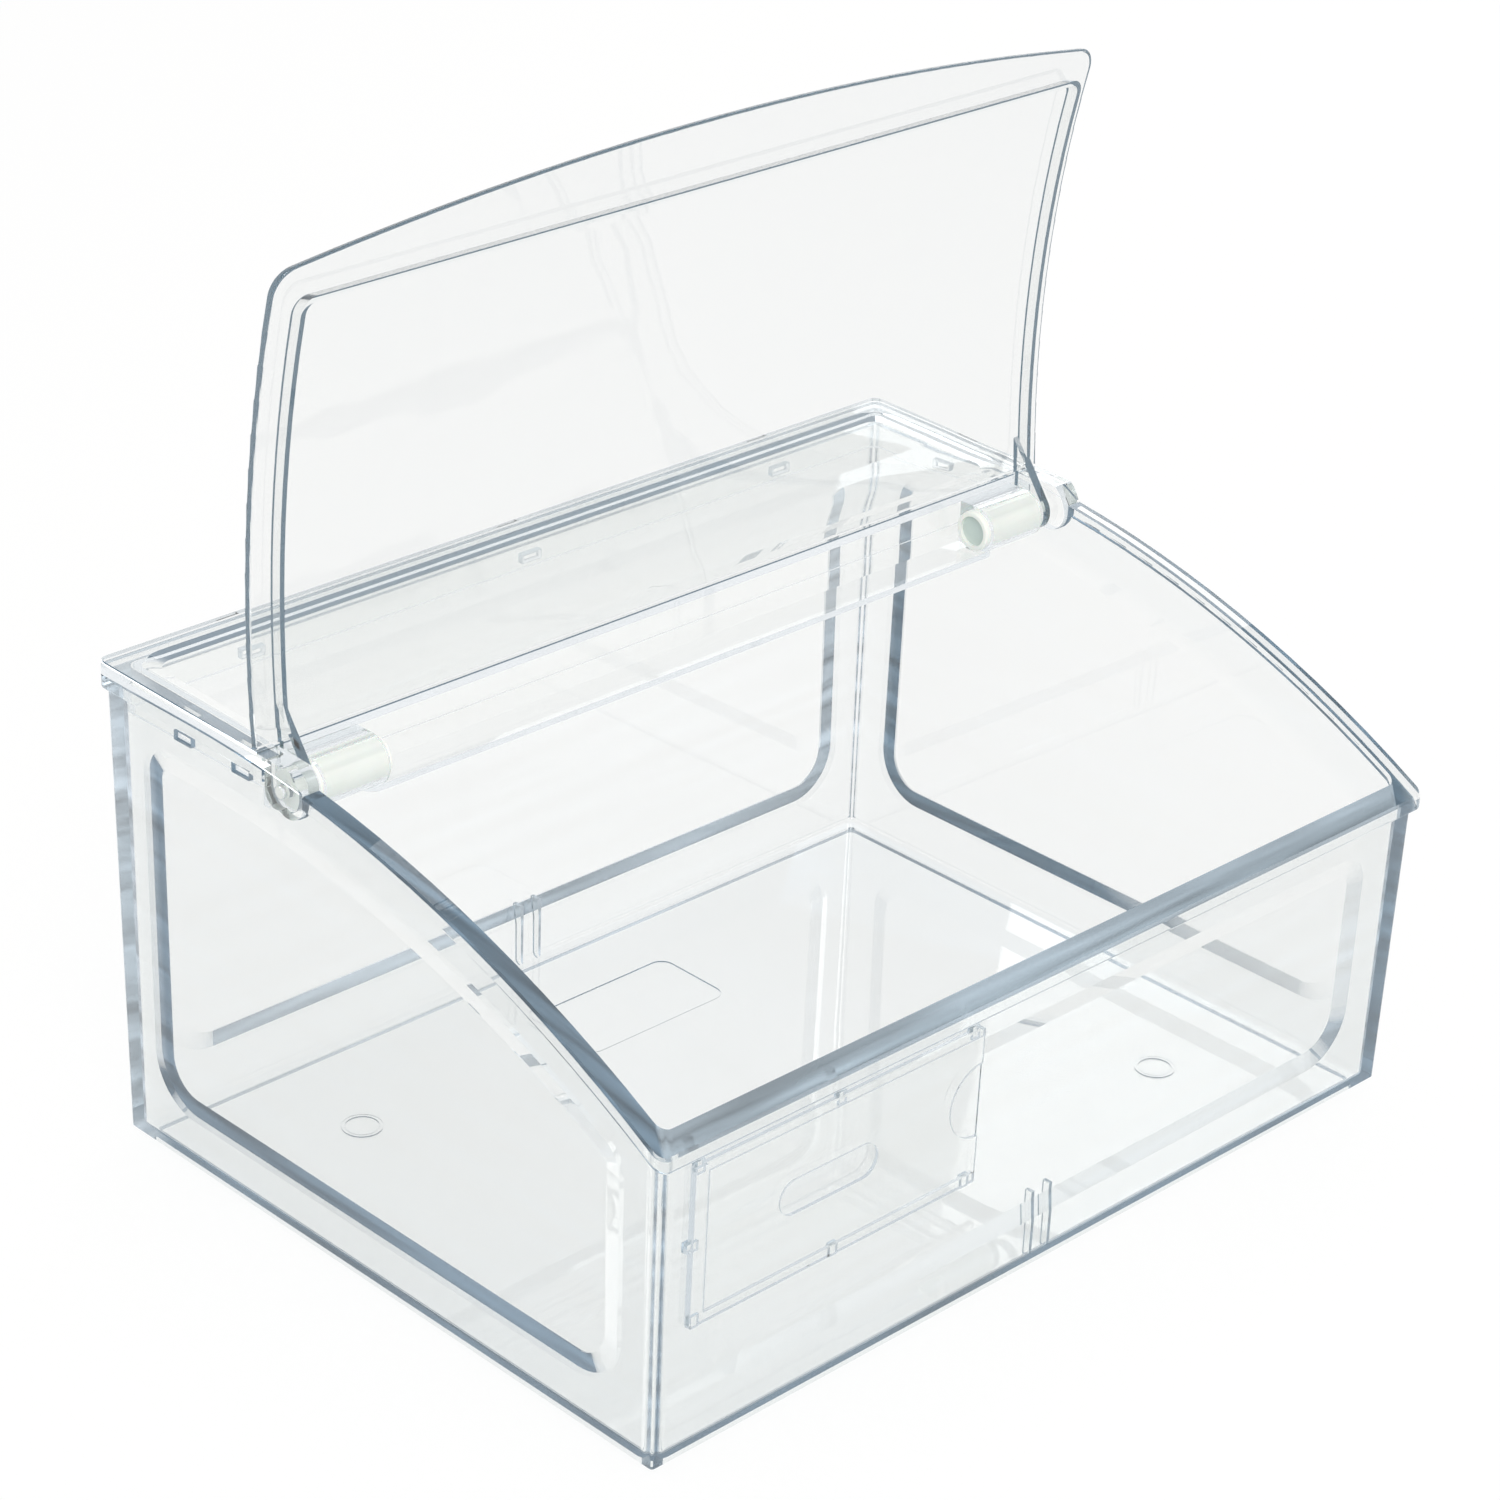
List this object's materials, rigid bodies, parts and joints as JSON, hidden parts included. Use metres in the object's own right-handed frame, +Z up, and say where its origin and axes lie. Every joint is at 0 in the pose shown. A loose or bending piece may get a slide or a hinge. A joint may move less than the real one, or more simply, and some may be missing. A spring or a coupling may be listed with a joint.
{
  "type": "candy bin with flip lid",
  "caption": "Clear countertop bin for loose sweets: tapered tub with a sweeping edge, fixed rear cover, label holder and a curved flip lid on soft-close hinges.",
  "frame": {"origin": "centre of the footprint, on the surface that the bin stands on", "axes": "+X to the right as seen from the front, +Y from front to back, +Z up"},
  "size_m": [0.4, 0.3, 0.392],
  "materials": {
    "clear_bin": "polished clear",
    "clear_cover": "polished clear",
    "clear_window": "polished clear",
    "clear_lid": "polished clear",
    "damper_housing": "satin",
    "damper_plug": "satin",
    "damper_o_ring": "matt",
    "damper_rotor": "satin"
  },
  "bodies": {
    "bin": {"bin_body": "clear_bin", "rear_cover": "clear_cover", "label_window": "clear_window", "damper_body_left": "damper_housing", "damper_body_right": "damper_housing", "damper_cap_left": "damper_plug", "damper_cap_right": "damper_plug", "damper_seal_left": "damper_o_ring", "damper_seal_right": "damper_o_ring"},
    "lid": {"lid": "clear_lid", "damper_rotor_left": "damper_rotor", "damper_rotor_right": "damper_rotor"}
  },
  "joints": [
    {"name": "lid_hinge", "type": "hinge", "parent": "bin", "child": "lid", "pos_m": [0, 0.048, 0.185], "axis": [1, 0, 0], "range_deg": [0, 102.6]}
  ]
}
